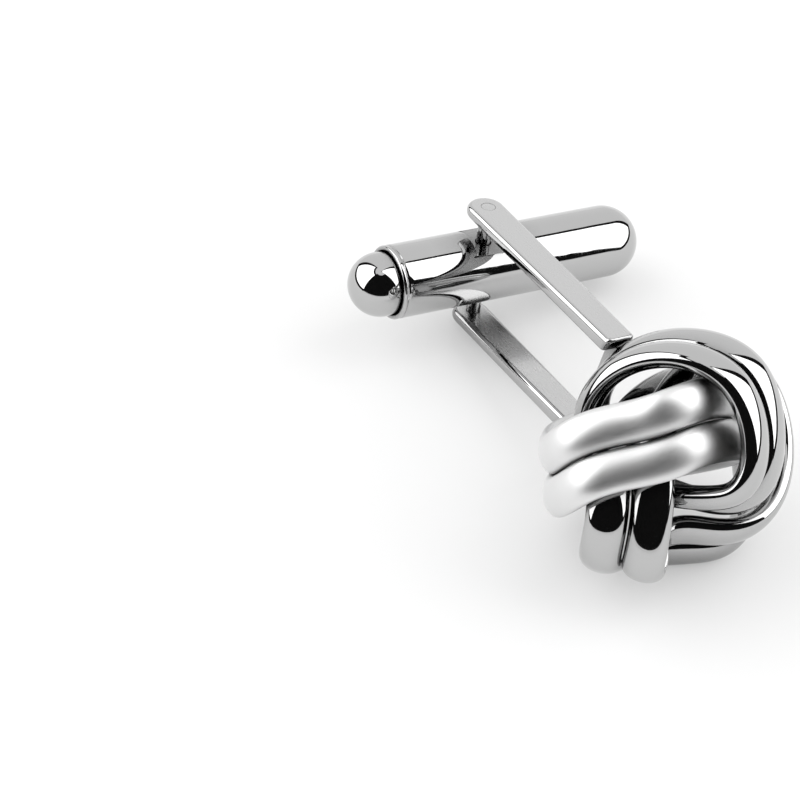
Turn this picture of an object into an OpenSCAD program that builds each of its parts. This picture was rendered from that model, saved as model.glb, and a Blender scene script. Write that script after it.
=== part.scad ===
// Knot cufflink: a knot of three doubled rings on a two-armed fork, with a swivel toggle
// between the arm tips. Millimetres. It rests on a table as it lies by itself.

/* [Toggle] */
// Diameter of the toggle bar
bar_d = 4.6; // [4:0.1:5.4]
// Pivot to the rim at the plug end
rim_reach = 6.6; // [6:0.1:7.5]
// Pivot to the tip of the domed end
dome_reach = 11.3; // [10:0.1:11.6]
// Pivot to the centre of the plug's ball
ball_reach = 7.1; // [6.6:0.1:7.8]
// Diameter of the plug's ball
ball_d = 4; // [3.4:0.1:4.1]
// Length of the milled flat below the pivot
low_flat_length = 4; // [3:0.1:5]
// Bar's middle line to that flat
low_flat_out = 2; // [1.7:0.1:2.2]
// Pivot to the plug end of the flat above the pivot
high_flat_end = 1.2; // [1:0.1:2.5]
// Bar's middle line to the flat above the pivot
high_flat_out = 1.7; // [1.6:0.1:2.2]

/* [Pivot pin] */
// Diameter of the pin
pin_d = 0.9; // [0.7:0.05:1.2]

/* [Fork] */
// Distance between the outer faces of the two arms
fork_h = 8.4; // [7.8:0.1:9.2]
// Width of an arm at its tip
arm_tip_w = 2.4; // [2:0.1:3]
// Width of an arm at the knot
arm_base_w = 2; // [1.6:0.1:2.6]
// Thickness of an arm at its tip
arm_tip_t = 0.8; // [0.6:0.05:1]
// Thickness of an arm at the knot
arm_base_t = 1.1; // [0.9:0.05:1.3]
// How far an arm's round tip reaches past the pivot
tip_reach = 1.35; // [1.2:0.05:1.8]
// Pivot to the knot end of the upper arm
high_reach = 15.5; // [14.8:0.1:15.5]
// Pivot to the knot end of the lower arm
low_reach = 13.9; // [13.3:0.1:13.9]
// Thickness of the bridge that joins the arms behind the knot
bridge_t = 0.9; // [0.7:0.1:1.1]
// Width of that bridge
bridge_w = 1; // [0.8:0.1:1.6]

/* [Knot] */
// Pivot to the middle of the knot, along the fork
knot_reach = 20.7; // [20.6:0.1:21.5]
// Half the width of one flattened wire
wire_half_w = 1.2; // [1:0.05:1.2]
// Half the thickness of one flattened wire
wire_half_t = 0.7; // [0.6:0.02:0.7]
// Gap between the two strands of a ring
strand_gap = 0.06; // [0.04:0.01:0.2]

/* [Hidden] */

// How the part lies: the knot end rises by lie_pitch, the toggle's domed end sinks by lie_roll
lie_pitch = 9;
lie_roll = 8.1;
// The pivot's place over the table
lie_at = [1.09, -12.01, 4.38];

// The knot's middle beside and above the fork's own middle line, and the turns of its own axes
knot_side = -0.2;
knot_rise = 0.1;
knot_turn = [-75.8, 79.3, -4.4];
// Height of the point that every wire's flat side faces away from
knot_heart = -1.2;

// The rings of the knot, each by seven stations that share its course evenly, in the ring's own
// third of a turn about the knot's axis.
// Columns: turn about the axis in degrees, distance from the axis, height along it, and how far
// the pair of strands leans over from facing straight out, in degrees
ring_a = [
    [-34, 5.1, -4.6, 3],
    [62, 2.3, -3.3, 9],
    [128, 4, 0.1, 8],
    [-170, 3.3, 3, -9],
    [-118, 3.7, 3.1, 7],
    [-88, 5.8, 2.5, 10],
    [-59, 6.4, -0.7, 15]
];
ring_b = [
    [-28, 4.7, -2.7, 4],
    [46, 3.5, -2.7, 7],
    [113, 2.4, 0.5, 12],
    [-169, 3.1, 3.2, 1],
    [-127, 4.6, 3.5, 4],
    [-92, 6, 1.7, 1],
    [-69, 6.2, -0.3, 1]
];
ring_c = [
    [-20, 6.4, -4.3, 13],
    [53, 2.5, -3.1, 22],
    [154, 2.6, 2.4, -13],
    [-154, 4.3, 4.6, -13],
    [-129, 6.2, 3, -8],
    [-95, 5.8, 1.3, -42],
    [-60, 7.5, 0.7, -13]
];
rings = [ring_a, ring_b, ring_c];
STATION_TURN = 0;
STATION_OUT = 1;
STATION_UP = 2;
STATION_LEAN = 3;
wire_loops = 90;
wire_sides = 14;

// How far the upper arm's end slants back, the height where the bridge bends, and how far its
// faces lie inside those of the arms
end_slant = 0.5;
bridge_bend = -2;
bridge_inset = 0.05;

pin_play = 0.05;
pin_seat = 0.01;
plug_seat = 0.03;
stem_r = 1.4;
stem_length = 2;
rim_edge = 0.15;
round_fn = 96;

// The milled flats of the bar
// Columns: side of the pivot, end towards the plug, end towards the dome, distance from the bar's
// middle line
flats = [
    [1, high_flat_end, -low_flat_length / 2, high_flat_out],
    [-1, low_flat_length / 2, -low_flat_length / 2, low_flat_out]
];
FLAT_SIDE = 0;
FLAT_PLUG_END = 1;
FLAT_DOME_END = 2;
FLAT_OUT = 3;

bar_r = bar_d / 2;
ball_r = ball_d / 2;
pin_r = pin_d / 2;
arm_out = fork_h / 2;
tip_y = arm_tip_w / 2 - tip_reach;
strand_out = wire_half_w + strand_gap / 2;

// A ring's path: a smooth closed curve through its stations
station_count = len(ring_a);
station_step = 360 / station_count;
ring_points = [for (ring = rings) [for (s = ring)
    [s[STATION_OUT] * cos(s[STATION_TURN]), s[STATION_OUT] * sin(s[STATION_TURN]), s[STATION_UP]]]];
ring_leans = [for (ring = rings) [for (s = ring) s[STATION_LEAN]]];

arm_in = arm_out - arm_base_t;
bridge_end = arm_out - arm_base_t / 2;
bridge_high = high_reach - end_slant / 2 - bridge_inset;
bridge_low = low_reach - bridge_inset;

function share(a) = (1 + 2 * cos(a) + 2 * cos(2 * a) + 2 * cos(3 * a)) / station_count;
function shares(a) = [for (i = [0:station_count - 1]) share(a - i * station_step)];
function path(ring, a) = shares(a) * ring_points[ring];
function lean(ring, a) = shares(a) * ring_leans[ring];
function unit(v) = v / norm(v);
function along(ring, a) = unit(path(ring, a + 1) - path(ring, a - 1));
function outward(ring, a) =
    let (from_heart = path(ring, a) - [0, 0, knot_heart], t = along(ring, a))
    unit(from_heart - (from_heart * t) * t);

// One loop of points round a strand; side is -1 or 1 for the two strands of a ring
function strand_loop(ring, a, side) =
    let (
        out = outward(ring, a),
        over = cross(along(ring, a), out),
        n = cos(lean(ring, a)) * out + sin(lean(ring, a)) * over,
        b = cross(along(ring, a), n),
        middle = path(ring, a) + side * strand_out * b
    )
    [for (i = [0:wire_sides - 1])
        let (turn = i * 360 / wire_sides)
        middle + wire_half_t * cos(turn) * n + wire_half_w * sin(turn) * b];

module strand(ring, side) {
    points = [for (k = [0:wire_loops - 1]) each strand_loop(ring, k * 360 / wire_loops, side)];
    faces = [for (k = [0:wire_loops - 1])
        let (here = k * wire_sides, next = (k + 1) % wire_loops * wire_sides)
        for (i = [0:wire_sides - 1])
            let (j = (i + 1) % wire_sides)
            each [[here + i, next + i, next + j], [here + i, next + j, here + j]]];
    polyhedron(points = points, faces = faces, convexity = 6);
}

// Sets a child, drawn about the pivot with the plug at +X and the knot at +Y, as it lies
module lying() {
    translate(lie_at)
        rotate([lie_pitch, -lie_roll, 0])
            children();
}

module knot_strand(ring, side) {
    lying()
        translate([knot_side, knot_reach, knot_rise])
            rotate(knot_turn)
                rotate([0, 0, -ring * 360 / len(rings)])
                    strand(ring, side);
}

module knot_wire_a1() {
    color("gainsboro")
        knot_strand(0, 1);
}

module knot_wire_a2() {
    color("gainsboro")
        knot_strand(0, -1);
}

module knot_wire_b1() {
    color("silver")
        knot_strand(1, 1);
}

module knot_wire_b2() {
    color("silver")
        knot_strand(1, -1);
}

module knot_wire_c1() {
    color("silver")
        knot_strand(2, 1);
}

module knot_wire_c2() {
    color("silver")
        knot_strand(2, -1);
}

// Plan of the fork: round arm tips and straight sides that draw in towards the knot
module fork_plan() {
    translate([0, tip_y])
        circle(d = arm_tip_w, $fn = round_fn);
    polygon([
        [-arm_tip_w / 2, tip_y],
        [arm_tip_w / 2, tip_y],
        [arm_base_w / 2, high_reach],
        [-arm_base_w / 2, high_reach]
    ]);
}

// Side view of the arms: straight outer faces, and inner ones that thicken towards the knot
module arms_side() {
    polygon([
        [-tip_reach, arm_out],
        [high_reach, arm_out],
        [high_reach - end_slant, arm_in],
        [-tip_reach, arm_out - arm_tip_t]
    ]);
    polygon([
        [-tip_reach, -arm_out],
        [low_reach, -arm_out],
        [low_reach, -arm_in],
        [-tip_reach, arm_tip_t - arm_out]
    ]);
}

// Side view of the bridge between the arms, which follows the knot's back and ends inside them
module bridge_side() {
    polygon([
        [bridge_high, bridge_end],
        [bridge_low, bridge_bend],
        [bridge_low, -bridge_end],
        [bridge_low - bridge_t, -bridge_end],
        [bridge_low - bridge_t, bridge_bend],
        [bridge_high - bridge_t, bridge_end]
    ]);
}

module fork() {
    color("silver")
        lying()
            union() {
                difference() {
                    intersection() {
                        linear_extrude(height = 2 * fork_h, center = true)
                            fork_plan();
                        rotate([90, 0, 90])
                            linear_extrude(height = 2 * arm_tip_w, center = true)
                                arms_side();
                    }
                    cylinder(r = pin_r + pin_seat, h = 2 * fork_h, center = true, $fn = round_fn);
                }
                translate([bridge_inset - arm_base_w / 2, 0, 0])
                    rotate([90, 0, 90])
                        linear_extrude(height = bridge_w)
                            bridge_side();
            }
}

module pivot_pin() {
    color("silver")
        lying()
            cylinder(r = pin_r, h = fork_h, center = true, $fn = round_fn);
}

// The bar as a solid of revolution, its dome towards -X
module bar() {
    rotate([0, 90, 0])
        rotate_extrude($fn = round_fn)
            union() {
                translate([0, bar_r - dome_reach])
                    square([bar_r, dome_reach - bar_r + rim_reach - rim_edge]);
                square([bar_r - rim_edge, rim_reach]);
                intersection() {
                    translate([0, bar_r - dome_reach])
                        circle(r = bar_r, $fn = round_fn);
                    translate([0, -dome_reach])
                        square([bar_r, bar_r]);
                }
            }
}

module toggle_tube() {
    color("silver")
        lying()
            difference() {
                bar();
                translate([ball_reach, 0, 0])
                    sphere(r = ball_r + plug_seat, $fn = round_fn);
                translate([ball_reach, 0, 0])
                    rotate([0, -90, 0])
                        cylinder(r = stem_r + plug_seat, h = ball_r + stem_length, $fn = round_fn);
                for (f = flats)
                    translate([
                        (f[FLAT_PLUG_END] + f[FLAT_DOME_END]) / 2,
                        0,
                        f[FLAT_SIDE] * (f[FLAT_OUT] + bar_r)
                    ])
                        cube([f[FLAT_PLUG_END] - f[FLAT_DOME_END], 2 * bar_r, 2 * bar_r], center = true);
                cylinder(r = pin_r + pin_play, h = 2 * bar_d, center = true, $fn = round_fn);
            }
}

module toggle_plug() {
    color("silver")
        lying()
            translate([ball_reach, 0, 0])
                union() {
                    sphere(r = ball_r, $fn = round_fn);
                    rotate([0, -90, 0])
                        cylinder(r = stem_r, h = ball_r + stem_length - plug_seat, $fn = round_fn);
                }
}

knot_wire_a1();
knot_wire_a2();
knot_wire_b1();
knot_wire_b2();
knot_wire_c1();
knot_wire_c2();
fork();
pivot_pin();
toggle_tube();
toggle_plug();
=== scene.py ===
import math
import bmesh
import bpy
from mathutils import Euler, Matrix, Vector


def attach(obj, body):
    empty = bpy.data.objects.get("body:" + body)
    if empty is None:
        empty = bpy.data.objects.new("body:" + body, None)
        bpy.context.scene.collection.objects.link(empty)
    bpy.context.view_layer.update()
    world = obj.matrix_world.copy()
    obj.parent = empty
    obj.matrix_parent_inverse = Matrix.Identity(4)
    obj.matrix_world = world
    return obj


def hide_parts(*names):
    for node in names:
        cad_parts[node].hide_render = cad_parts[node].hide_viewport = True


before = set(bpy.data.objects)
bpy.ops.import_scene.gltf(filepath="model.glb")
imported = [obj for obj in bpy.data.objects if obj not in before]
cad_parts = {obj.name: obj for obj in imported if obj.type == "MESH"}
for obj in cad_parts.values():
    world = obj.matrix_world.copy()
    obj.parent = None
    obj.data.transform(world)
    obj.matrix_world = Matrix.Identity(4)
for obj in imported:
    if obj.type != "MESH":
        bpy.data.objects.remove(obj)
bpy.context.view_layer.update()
print("knot cufflink: frame loaded")

mm = 0.001

# how the cufflink lies on the table, as in the CAD part: degrees and mm
lie = {"pitch": 9.0, "roll": 8.1, "pivotAt": (1.09, -12.01, 4.38)}
lieTurn = (Matrix.Rotation(math.radians(-lie["roll"]), 4, "Y")
           @ Matrix.Rotation(math.radians(lie["pitch"]), 4, "X"))
ownToRow = Matrix.Scale(mm, 4) @ Matrix.Translation(lie["pivotAt"]) @ lieTurn


def hexColour(text):
    # sRGB hex to linear
    parts = [int(text[i:i + 2], 16) / 255 for i in (1, 3, 5)]
    return tuple(c / 12.92 if c <= 0.04045 else ((c + 0.055) / 1.055) ** 2.4 for c in parts) + (1.0,)


def addNode(material, kind, settings=None, links=None):
    # settings: input or property -> value; links: input -> (node, output)
    node = material.node_tree.nodes.new(kind)
    for key, value in (settings or {}).items():
        if key in node.inputs:
            node.inputs[key].default_value = value
        else:
            setattr(node, key, value)
    for key, (source, output) in (links or {}).items():
        material.node_tree.links.new(source.outputs[output], node.inputs[key])
    return node


def startMaterial(name):
    material = bpy.data.materials.new(name)
    material.use_nodes = True
    material.node_tree.nodes.clear()
    return material


# what all the plated finishes share: detail and roughness of their two noises, and the part of
# the noise's range that the gloss follows
plateNoise = {"marks": (4.0, 0.6), "wave": (1.0, 0.4), "glossFrom": (0.35, 0.65)}
# a Mix node repeats its socket names for every type of data, so its colour sockets go by number
mixSockets = {"shaded": 6, "unshaded": 7, "result": 2}


def noiseNode(material, size, noise, place):
    # size in mm
    return addNode(material, "ShaderNodeTexNoise",
                   {"Scale": 1 / (size * mm), "Detail": noise[0], "Roughness": noise[1]}, {"Vector": place})


def platedMetal(name, look):
    # chrome plate over brass: a metal whose polish waves a little, with marks that show in its gloss, and with
    # shade painted into its recesses
    material = startMaterial(name)
    place = addNode(material, "ShaderNodeTexCoord")
    grain = addNode(material, "ShaderNodeMapping",
                    {"Scale": look["grainScale"], "Rotation": look["grainTurn"]}, {"Vector": (place, "Object")})
    marks = noiseNode(material, look["grainSize"], plateNoise["marks"], (grain, "Vector"))
    gloss = addNode(material, "ShaderNodeMapRange",
                    {"From Min": plateNoise["glossFrom"][0], "From Max": plateNoise["glossFrom"][1],
                     "To Min": look["roughness"][0], "To Max": look["roughness"][1]},
                    {"Value": (marks, "Fac")})
    wave = noiseNode(material, look["waveSize"], plateNoise["wave"], (place, "Object"))
    waveBump = addNode(material, "ShaderNodeBump", {"Strength": 1.0, "Distance": look["waveDepth"] * mm},
                       {"Height": (wave, "Fac")})
    grainBump = addNode(material, "ShaderNodeBump", {"Strength": 1.0, "Distance": look["grainDepth"] * mm},
                        {"Height": (marks, "Fac"), "Normal": (waveBump, "Normal")})
    # painted shade: the base colour turns dark where ambient occlusion finds grooves and the inside of the knot
    openness = addNode(material, "ShaderNodeAmbientOcclusion",
                       {"Distance": look["paintedShadeReach"] * mm, "samples": 1})
    paintedShade = addNode(material, "ShaderNodeMapRange",
                   {"From Min": look["paintedShadeFrom"][0], "From Max": look["paintedShadeFrom"][1]},
                   {"Value": (openness, "AO")})
    tint = addNode(material, "ShaderNodeMix", {"data_type": "RGBA"}, {"Factor": (paintedShade, "Result")})
    tint.inputs[mixSockets["shaded"]].default_value = hexColour(look["paintedShade"])
    tint.inputs[mixSockets["unshaded"]].default_value = hexColour(look["colour"])
    metal = addNode(material, "ShaderNodeBsdfPrincipled", {"Metallic": 1.0},
                    {"Roughness": (gloss, "Result"), "Normal": (grainBump, "Normal")})
    material.node_tree.links.new(tint.outputs[mixSockets["result"]], metal.inputs["Base Color"])
    addNode(material, "ShaderNodeOutputMaterial", None, {"Surface": (metal, "BSDF")})
    return material


# sizes and depths in mm; a real grain is too fine for a picture this size, so it is drawn coarser. Each look's
# dark colour, reach and occlusion range give the shade painted into its recesses.
# mirror-polished chrome plate: sharp black and white reflections, with a slight hand-polished wave
mirrorLook = {
    "colour": "#BCBCBC", "paintedShade": "#1C1C1C", "paintedShadeReach": 3.0, "paintedShadeFrom": (0.30, 0.62),
    "roughness": (0.03, 0.06), "grainSize": 0.5, "grainScale": (1, 1, 1), "grainTurn": (0, 0, 0),
    "grainDepth": 0.0, "waveSize": 2.2, "waveDepth": 0.012,
}
# satin chrome plate: blasted fine, so that reflections melt into soft grey gradients
satinLook = {
    "colour": "#E4E4E4", "paintedShade": "#3A3A3A", "paintedShadeReach": 0.4, "paintedShadeFrom": (0.15, 0.45),
    "roughness": (0.43, 0.46), "grainSize": 0.25, "grainScale": (1, 1, 1), "grainTurn": (0, 0, 0),
    "grainDepth": 0.0002, "waveSize": 3.0, "waveDepth": 0.0,
}
# brushed chrome plate: the fork's flat faces keep a faint straight grain along the arms
strapLook = {
    "colour": "#CACACA", "paintedShade": "#3A3A3A", "paintedShadeReach": 1.0, "paintedShadeFrom": (0.1, 0.4),
    "roughness": (0.25, 0.28), "grainSize": 0.22, "grainScale": (1, 0.06, 1),
    "grainTurn": (math.radians(-lie["pitch"]), 0, 0), "grainDepth": 0.00015,
    "waveSize": 5.0, "waveDepth": 0.0,
}
mirrorChrome = platedMetal("mirror_polished_chrome_plate", mirrorLook)
satinChrome = platedMetal("satin_chrome_plate", satinLook)
strapChrome = platedMetal("brushed_chrome_plate", strapLook)
print("knot cufflink: materials made")

# angles in degrees above which an edge is sharp, and is broken; how far up a flat face's normal
# points; how strongly the flat faces keep their shading
finishing = {"sharp": 35.0, "breakFrom": 32, "facesUp": 0.97, "evenWeight": 80}


def finishPiece(bm, name, materials, body, node, sharpDegrees=finishing["sharp"], evenFlats=False):
    # bm is in mm about the pivot, and the mesh is put where the cufflink lies; evenFlats keeps flat
    # faces flat in their shading; a second material goes on every face that looks sideways
    bm.normal_update()
    for face in bm.faces:
        face.material_index = int(len(materials) > 1 and abs(face.normal.z) < finishing["facesUp"])
    bmesh.ops.transform(bm, matrix=ownToRow, verts=bm.verts)
    bmesh.ops.recalc_face_normals(bm, faces=bm.faces)
    for face in bm.faces:
        face.smooth = True
    piece = looseObject(bm, name)
    piece.data.set_sharp_from_angle(angle=math.radians(sharpDegrees))
    for material in materials:
        piece.data.materials.append(material)
    if evenFlats:
        even = piece.modifiers.new("even", "WEIGHTED_NORMAL")
        even.weight = finishing["evenWeight"]
        even.keep_sharp = True
    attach(piece, body)
    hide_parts(node)


def looseObject(bm, name):
    mesh = bpy.data.meshes.new(name)
    bm.to_mesh(mesh)
    bm.free()
    thing = bpy.data.objects.new(name, mesh)
    bpy.context.scene.collection.objects.link(thing)
    return thing


def carved(blank, cutters, bevelWidth, bevelSegments, weld=0.0):
    # cutters: (object, operation); gives the carved and edge-broken mesh as a bmesh and drops the
    # helpers; weld joins points closer than this that the cuts leave, so that edges break evenly
    for cutter, operation in cutters:
        modifier = blank.modifiers.new("cut", "BOOLEAN")
        modifier.operation = operation
        modifier.solver = "EXACT"
        modifier.object = cutter
    if weld:
        blank.modifiers.new("weld", "WELD").merge_threshold = weld
    edge = blank.modifiers.new("edge", "BEVEL")
    edge.width = bevelWidth
    edge.segments = bevelSegments
    edge.limit_method = "ANGLE"
    edge.angle_limit = math.radians(finishing["breakFrom"])
    edge.profile = 0.5
    edge.use_clamp_overlap = not weld
    bpy.context.view_layer.update()
    seen = blank.evaluated_get(bpy.context.evaluated_depsgraph_get())
    bm = bmesh.new()
    bm.from_mesh(seen.to_mesh())
    seen.to_mesh_clear()
    for thing in [blank] + [cutter for cutter, operation in cutters]:
        mesh = thing.data
        bpy.data.objects.remove(thing)
        bpy.data.meshes.remove(mesh)
    return bm


# each ring is a smooth closed curve through seven stations: turn about the knot's axis in degrees,
# distance from the axis and height along it in mm, and how far the pair leans over from facing
# straight out, in degrees; the rings stand a third of a turn apart
knot = {
    "middle": (-0.2, 20.7, 0.1), "turn": (-75.8, 79.3, -4.4), "heart": -1.2,
    "halfWidth": 1.20, "halfThickness": 0.70, "strandGap": 0.06, "loops": 252, "sides": 44,
    "ringTurn": 2 * math.pi / 3, "sharp": 80.0,
    # a small turn, about a degree, over which the curve's direction is taken
    "lookAhead": 0.0175,
    "stations": {
        "a": ((-34, 5.1, -4.6, 3), (62, 2.3, -3.3, 9), (128, 4, 0.1, 8), (-170, 3.3, 3, -9),
              (-118, 3.7, 3.1, 7), (-88, 5.8, 2.5, 10), (-59, 6.4, -0.7, 15)),
        "b": ((-28, 4.7, -2.7, 4), (46, 3.5, -2.7, 7), (113, 2.4, 0.5, 12), (-169, 3.1, 3.2, 1),
              (-127, 4.6, 3.5, 4), (-92, 6, 1.7, 1), (-69, 6.2, -0.3, 1)),
        "c": ((-20, 6.4, -4.3, 13), (53, 2.5, -3.1, 22), (154, 2.6, 2.4, -13), (-154, 4.3, 4.6, -13),
              (-129, 6.2, 3, -8), (-95, 5.8, 1.3, -42), (-60, 7.5, 0.7, -13)),
    },
}
knotPlace = (Matrix.Translation(knot["middle"])
             @ Euler([math.radians(t) for t in knot["turn"]]).to_matrix().to_4x4())


def stationPoints(ring):
    # x, y, z and the lean, so that one curve runs through all four
    points = []
    for turn, out, up, lean in knot["stations"][ring]:
        a = math.radians(turn)
        points.append(Vector((out * math.cos(a), out * math.sin(a), up, math.radians(lean))))
    return points


def pathPoint(points, angle):
    # trigonometric curve through the stations
    total = Vector((0, 0, 0, 0))
    for i, point in enumerate(points):
        a = angle - i * 2 * math.pi / len(points)
        total += point * (1 + 2 * math.cos(a) + 2 * math.cos(2 * a) + 2 * math.cos(3 * a)) / len(points)
    return total


def loopPlace(points, angle, side):
    # a turned and stretched frame for one elliptical loop of a strand
    here = pathPoint(points, angle)
    lean, here = here.w, here.to_3d()
    step = knot["lookAhead"]
    along = (pathPoint(points, angle + step) - pathPoint(points, angle - step)).to_3d().normalized()
    outward = here - Vector((0, 0, knot["heart"]))
    outward = (outward - outward.dot(along) * along).normalized()
    face = outward * math.cos(lean) + along.cross(outward) * math.sin(lean)
    across = along.cross(face)
    place = Matrix((face * knot["halfThickness"], across * knot["halfWidth"], along)).transposed().to_4x4()
    place.translation = here + across * side * (knot["halfWidth"] + knot["strandGap"] / 2)
    return place


def strand(ring, side):
    points = stationPoints(ring)
    bm = bmesh.new()
    rings = []
    for i in range(knot["loops"]):
        place = loopPlace(points, i * 2 * math.pi / knot["loops"], side)
        made = bmesh.ops.create_circle(bm, cap_ends=False, segments=knot["sides"], radius=1.0, matrix=place)
        rings.append(list({edge for vert in made["verts"] for edge in vert.link_edges}))
    for i, edges in enumerate(rings):
        bmesh.ops.bridge_loops(bm, edges=edges + rings[(i + 1) % len(rings)])
    ringPlace = Matrix.Rotation(-"abc".index(ring) * knot["ringTurn"], 4, "Z")
    bmesh.ops.transform(bm, matrix=knotPlace @ ringPlace, verts=bm.verts)
    return bm


for ring, material, slot in (("a", satinChrome, "satin_ring"), ("b", mirrorChrome, "polished_rings"),
                             ("c", mirrorChrome, "polished_rings")):
    for number, side in ((1, 1), (2, -1)):
        finishPiece(strand(ring, side), f"strand_{ring}{number}", [material], "fixed",
                    f"knot_wire_{ring}{number}", knot["sharp"])
    print(f"knot cufflink: ring {ring} made")


# spare is how far a blank or a cutter runs past the finished shape
fork = {
    "height": 8.4, "tipWidth": 2.4, "baseWidth": 2.0, "tipThick": 0.8, "baseThick": 1.1,
    "tipReach": 1.35, "highReach": 15.5, "lowReach": 13.9, "endSlant": 0.5, "holeRadius": 0.46,
    "roundEdge": 0.38, "roundSteps": 5, "holeEdge": 0.04, "edgeSteps": 2, "tipSteps": 40, "spare": 0.5,
}
# the strip that joins the two arms behind the knot; its faces lie a little inside those of the arms
bridge = {"thick": 0.9, "width": 1.0, "bend": -2.0, "inset": 0.05, "edge": 0.05}


def pushed(bm, faces, shift):
    # flat faces pushed along shift into a closed solid
    grown = bmesh.ops.extrude_face_region(bm, geom=faces)
    bmesh.ops.translate(bm, vec=shift, verts=[g for g in grown["geom"] if isinstance(g, bmesh.types.BMVert)])
    bmesh.ops.recalc_face_normals(bm, faces=bm.faces)
    return bm


def prism(outlines, shift):
    bm = bmesh.new()
    return pushed(bm, [bm.faces.new([bm.verts.new(c) for c in corners]) for corners in outlines], shift)


def forkPlan():
    # round arm tips from a spun corner, then the two long sides
    half, top = fork["tipWidth"] / 2, fork["height"]
    tipY, farY = half - fork["tipReach"], fork["highReach"] + fork["spare"]
    bm = bmesh.new()
    first = bm.verts.new((-half, tipY, -top))
    bmesh.ops.spin(bm, geom=[first], cent=(0, tipY, -top), axis=(0, 0, 1), angle=math.pi,
                   steps=fork["tipSteps"], use_duplicate=False)
    last = max(bm.verts, key=lambda v: v.co.x)
    far = [bm.verts.new((x * fork["baseWidth"] / 2, farY, -top)) for x in (1, -1)]
    for pair in ((last, far[0]), far, (far[1], first)):
        bm.edges.new(pair)
    return pushed(bm, bmesh.ops.contextual_create(bm, geom=bm.edges[:])["faces"], (0, 0, 2 * top))


def armSides():
    # side views of the two arms; the upper one's end slants back towards its inner face
    out, tip, width = fork["height"] / 2, -fork["tipReach"] - fork["spare"], fork["tipWidth"]
    inTip, inBase = out - fork["tipThick"], out - fork["baseThick"]
    high = [(tip, out), (fork["highReach"], out), (fork["highReach"] - fork["endSlant"], inBase), (tip, inTip)]
    low = [(tip, -out), (fork["lowReach"], -out), (fork["lowReach"], -inBase), (tip, -inTip)]
    return prism([[(-width, y, z) for y, z in side] for side in (high, low)], (2 * width, 0, 0))


def bridgeSide():
    # the bridge's side view, bent to follow the back of the knot
    end = fork["height"] / 2 - fork["baseThick"] / 2
    high = fork["highReach"] - fork["endSlant"] / 2 - bridge["inset"]
    low = fork["lowReach"] - bridge["inset"]
    thick, left = bridge["thick"], bridge["inset"] - fork["baseWidth"] / 2
    side = [(high, end), (low, bridge["bend"]), (low, -end),
            (low - thick, -end), (low - thick, bridge["bend"]), (high - thick, end)]
    return prism([[(left, y, z) for y, z in side]], (bridge["width"], 0, 0))


def roundBar(radius, length):
    # upright, with its middle at the pivot
    bm = bmesh.new()
    bmesh.ops.create_cone(bm, cap_ends=True, segments=pin["sides"], radius1=radius, radius2=radius, depth=length)
    return bm


pin = {"radius": 0.45, "edge": 0.03, "edgeSteps": 2, "sides": 64}

arms = carved(looseObject(armSides(), "arm_blank"), [(looseObject(forkPlan(), "fork_plan"), "INTERSECT")],
              fork["roundEdge"], fork["roundSteps"])
bridgeMesh = carved(looseObject(bridgeSide(), "bridge_blank"), [], bridge["edge"], fork["edgeSteps"])
forkCutters = [(looseObject(bridgeMesh, "bridge"), "UNION"),
               (looseObject(roundBar(fork["holeRadius"], 3 * fork["height"]), "fork_hole"), "DIFFERENCE")]
forkMesh = carved(looseObject(arms, "fork_blank"), forkCutters, fork["holeEdge"], fork["edgeSteps"])
finishPiece(forkMesh, "fork_strap", [strapChrome, mirrorChrome], "fixed", "fork", evenFlats=True)

pinMesh = carved(looseObject(roundBar(pin["radius"], fork["height"]), "pin_blank"), [],
                 pin["edge"], pin["edgeSteps"])
finishPiece(pinMesh, "pin", [strapChrome, mirrorChrome], "fixed", "pivot_pin", evenFlats=True)
print("knot cufflink: fork and pin made")

# distances from the pivot along the bar, the ball's side positive
toggle = {
    "radius": 2.3, "dome": -11.3, "domeSteps": 26, "rim": 6.6, "rimEdge": 0.12, "rimRound": 0.3, "lip": 0.12,
    "sideStations": (-7, -5, -3.2, -2.3, 0, 1.5, 2.3, 3.2, 4.8, 5.9),
    "groove": 0.05, "grooveAt": 6.28, "grooveHalf": 0.09, "grooveFloor": 0.03,
    "seatPlay": 0.03, "seatFrom": 0.2, "seatSteps": 24,
    "steps": 144, "edge": 0.045, "edgeSteps": 3, "weld": 0.004, "poleMerge": 1e-4,
    "bore": 0.5, "boreLength": 12,
    # milled flats: side of the pivot, end towards the ball, end towards the dome, distance from
    # the bar's middle line; the cutter's width and height
    "flats": ((1, 1.2, -2, 1.7), (-1, 2, -2, 2)), "flatCutter": (6, 2),
}
ball = {"at": 7.1, "radius": 2.0, "steps": 40, "stem": 1.4, "stemReach": 1.7, "turnSteps": 96, "sharp": 60.0}


def turned(outline, steps):
    # an outline of (along, radius) points turned about the X axis
    bm = bmesh.new()
    verts = [bm.verts.new((x, r, 0)) for x, r in outline]
    edges = [bm.edges.new(pair) for pair in zip(verts, verts[1:])]
    bmesh.ops.spin(bm, geom=verts + edges, cent=(0, 0, 0), axis=(1, 0, 0), angle=2 * math.pi, steps=steps,
                   use_merge=True, use_duplicate=False)
    bmesh.ops.remove_doubles(bm, verts=bm.verts, dist=toggle["poleMerge"])
    bmesh.ops.recalc_face_normals(bm, faces=bm.faces)
    return bm


def arc(centre, radius, start, end, count):
    angles = [math.radians(start + (end - start) * i / count) for i in range(count + 1)]
    return [(centre + radius * math.cos(a), radius * math.sin(a)) for a in angles]


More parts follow.
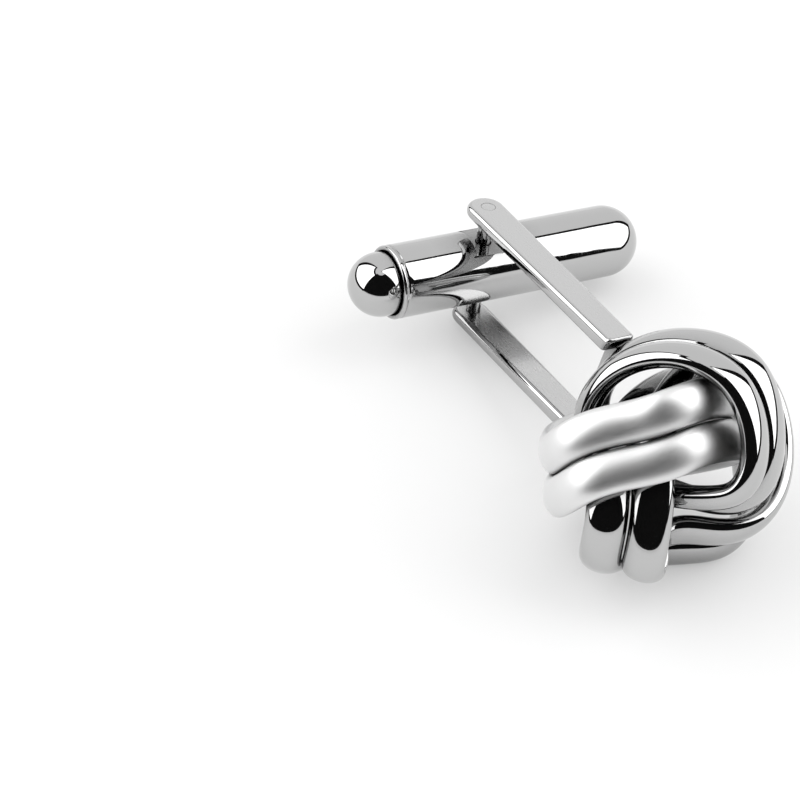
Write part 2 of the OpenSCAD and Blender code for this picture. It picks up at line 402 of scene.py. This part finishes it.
def tubeOutline():
    # dome, straight side with stations near the flats, crimp groove, rim, and the seat of the ball
    r, seat = toggle["radius"], ball["radius"] + toggle["seatPlay"]
    dome = arc(toggle["dome"] + r, r, 180, 90, toggle["domeSteps"])
    side = [(x, r) for x in toggle["sideStations"]]
    at, half, floor, deep = toggle["grooveAt"], toggle["grooveHalf"], toggle["grooveFloor"], r - toggle["groove"]
    crimp = [(at - half, r), (at - floor, deep), (at + floor, deep), (at + half, r)]
    rim, edge = toggle["rim"], toggle["rimEdge"]
    corner = edge * toggle["rimRound"]
    lip = [(rim - edge, r), (rim - corner, r - corner), (rim, r - edge), (rim, r - edge - toggle["lip"])]
    seatStart = math.degrees(math.acos((rim - toggle["seatFrom"] - ball["at"]) / seat))
    cup = arc(ball["at"], seat, seatStart, 180, toggle["seatSteps"])
    return dome + side + crimp + lip + cup


def plugOutline():
    last = 180 - math.degrees(math.asin(ball["stem"] / ball["radius"]))
    stemEnd = ball["at"] - ball["stemReach"]
    return arc(ball["at"], ball["radius"], 0, last, ball["steps"]) + [(stemEnd, ball["stem"]), (stemEnd, 0)]


tubeBlank = looseObject(turned(tubeOutline(), toggle["steps"]), "tube_blank")
tubeCutters = [(looseObject(roundBar(toggle["bore"], toggle["boreLength"]), "tube_bore"), "DIFFERENCE")]
flatWide, flatHigh = toggle["flatCutter"]
for side, ballEnd, domeEnd, out in toggle["flats"]:
    box = bmesh.new()
    bmesh.ops.create_cube(box, size=1.0,
                          matrix=Matrix.Translation(((ballEnd + domeEnd) / 2, 0, side * (out + flatHigh / 2)))
                          @ Matrix.Diagonal((ballEnd - domeEnd, flatWide, flatHigh, 1)))
    tubeCutters.append((looseObject(box, "tube_flat"), "DIFFERENCE"))
tubeMesh = carved(tubeBlank, tubeCutters, toggle["edge"], toggle["edgeSteps"], toggle["weld"])
finishPiece(tubeMesh, "toggle_bar", [mirrorChrome], "toggle", "toggle_tube", evenFlats=True)
finishPiece(turned(plugOutline(), ball["turnSteps"]), "toggle_ball", [mirrorChrome], "toggle",
            "toggle_plug", ball["sharp"])
print("knot cufflink: toggle made")

# place in mm, turn in degrees, clip in metres
view = {"place": (61.42, 83.57, 109.70), "turn": (43.639, -3.149, 153.212), "lens": 111.12, "clip": (0.005, 20.0)}
cameraData = bpy.data.cameras.new("camera")
cameraData.lens = view["lens"]
cameraData.clip_start, cameraData.clip_end = view["clip"]
camera = bpy.data.objects.new("camera", cameraData)
camera.location = Vector(view["place"]) * mm
camera.rotation_euler = [math.radians(t) for t in view["turn"]]
bpy.context.scene.collection.objects.link(camera)
bpy.context.scene.camera = camera

# the light: azimuth 0 is the +Y side and 90 the +X side, elevation is above the table, both in
# degrees; reach and the distances behind it are in mm, floorHalf in metres; the soft boxes wrap the
# cufflink, each in a black frame that draws the thin dark lines in the polish, and a black cloth
# hangs at the side of the camera
studio = {
    "floor": "#B4B4B4", "floorGlow": 0.34, "floorHalf": 3.0, "room": 1.0, "black": "#141414",
    "reach": 400, "frameBehind": 4, "clothBehind": 8, "cardRows": 12, "cardSteps": 48,
    # azimuths, elevations, strength, and the frame's width at the four sides
    "boxes": {"soft_box_right": ((-98, -37), (7, 86), 2.8, (9, 2, 7, 3)),
              "soft_box_left": ((87, 161), (7, 66), 2.8, (2, 9, 7, 6))},
    "cloth": ((-35, 85), (2, 76)),
}


def plainMaterial(name, colour, glow):
    # matt cloth or paper, lit from behind where glow is more than 0
    material = startMaterial(name)
    surface = addNode(material, "ShaderNodeBsdfPrincipled",
                      {"Base Color": hexColour(colour), "Roughness": 1.0, "Specular IOR Level": 0.0,
                       "Emission Color": (1, 1, 1, 1), "Emission Strength": glow})
    addNode(material, "ShaderNodeOutputMaterial", None, {"Surface": (surface, "BSDF")})
    return material


def stagePiece(bm, name, material):
    thing = looseObject(bm, name)
    thing.data.materials.append(material)
    return thing


def roundCard(name, azimuths, heights, reach, material, lights):
    # a card bent round the cufflink: an upright arc spun about the table's upright axis
    bm = bmesh.new()
    start = math.radians(azimuths[0])
    rows = studio["cardRows"]
    verts = []
    for i in range(rows + 1):
        up = math.radians(heights[0] + (heights[1] - heights[0]) * i / rows)
        toCard = Vector((math.sin(start) * math.cos(up), math.cos(start) * math.cos(up), math.sin(up)))
        verts.append(bm.verts.new(toCard * reach * mm))
    edges = [bm.edges.new(pair) for pair in zip(verts, verts[1:])]
    bmesh.ops.spin(bm, geom=verts + edges, cent=(0, 0, 0), axis=(0, 0, -1),
                   angle=math.radians(azimuths[1] - azimuths[0]), steps=studio["cardSteps"], use_duplicate=False)
    card = stagePiece(bm, name, material)
    card.visible_camera = False
    card.visible_shadow = False
    card.visible_diffuse = lights


floorMesh = bmesh.new()
bmesh.ops.create_grid(floorMesh, x_segments=1, y_segments=1, size=studio["floorHalf"])
stagePiece(floorMesh, "floor", plainMaterial("pale_paper_floor", studio["floor"], studio["floorGlow"]))

blackCloth = plainMaterial("black_cloth", studio["black"], 0)
for name, (azimuths, heights, strength, wide) in studio["boxes"].items():
    glowingCloth = plainMaterial(f"{name}_cloth", "#000000", strength)
    roundCard(name, azimuths, heights, studio["reach"], glowingCloth, True)
    roundCard(f"{name}_frame", (azimuths[0] - wide[0], azimuths[1] + wide[1]),
              (heights[0] - wide[2], heights[1] + wide[3]), studio["reach"] + studio["frameBehind"],
              blackCloth, False)
roundCard("camera_side_cloth", *studio["cloth"], studio["reach"] + studio["clothBehind"], blackCloth, False)

world = bpy.data.worlds.new("room")
world.use_nodes = True
background = world.node_tree.nodes["Background"]
background.inputs["Color"].default_value = (1, 1, 1, 1)
background.inputs["Strength"].default_value = studio["room"]
bpy.context.scene.world = world

bpy.context.scene.view_settings.view_transform = "Standard"
bpy.context.scene.view_settings.look = "None"
print("knot cufflink: camera, floor and light made")
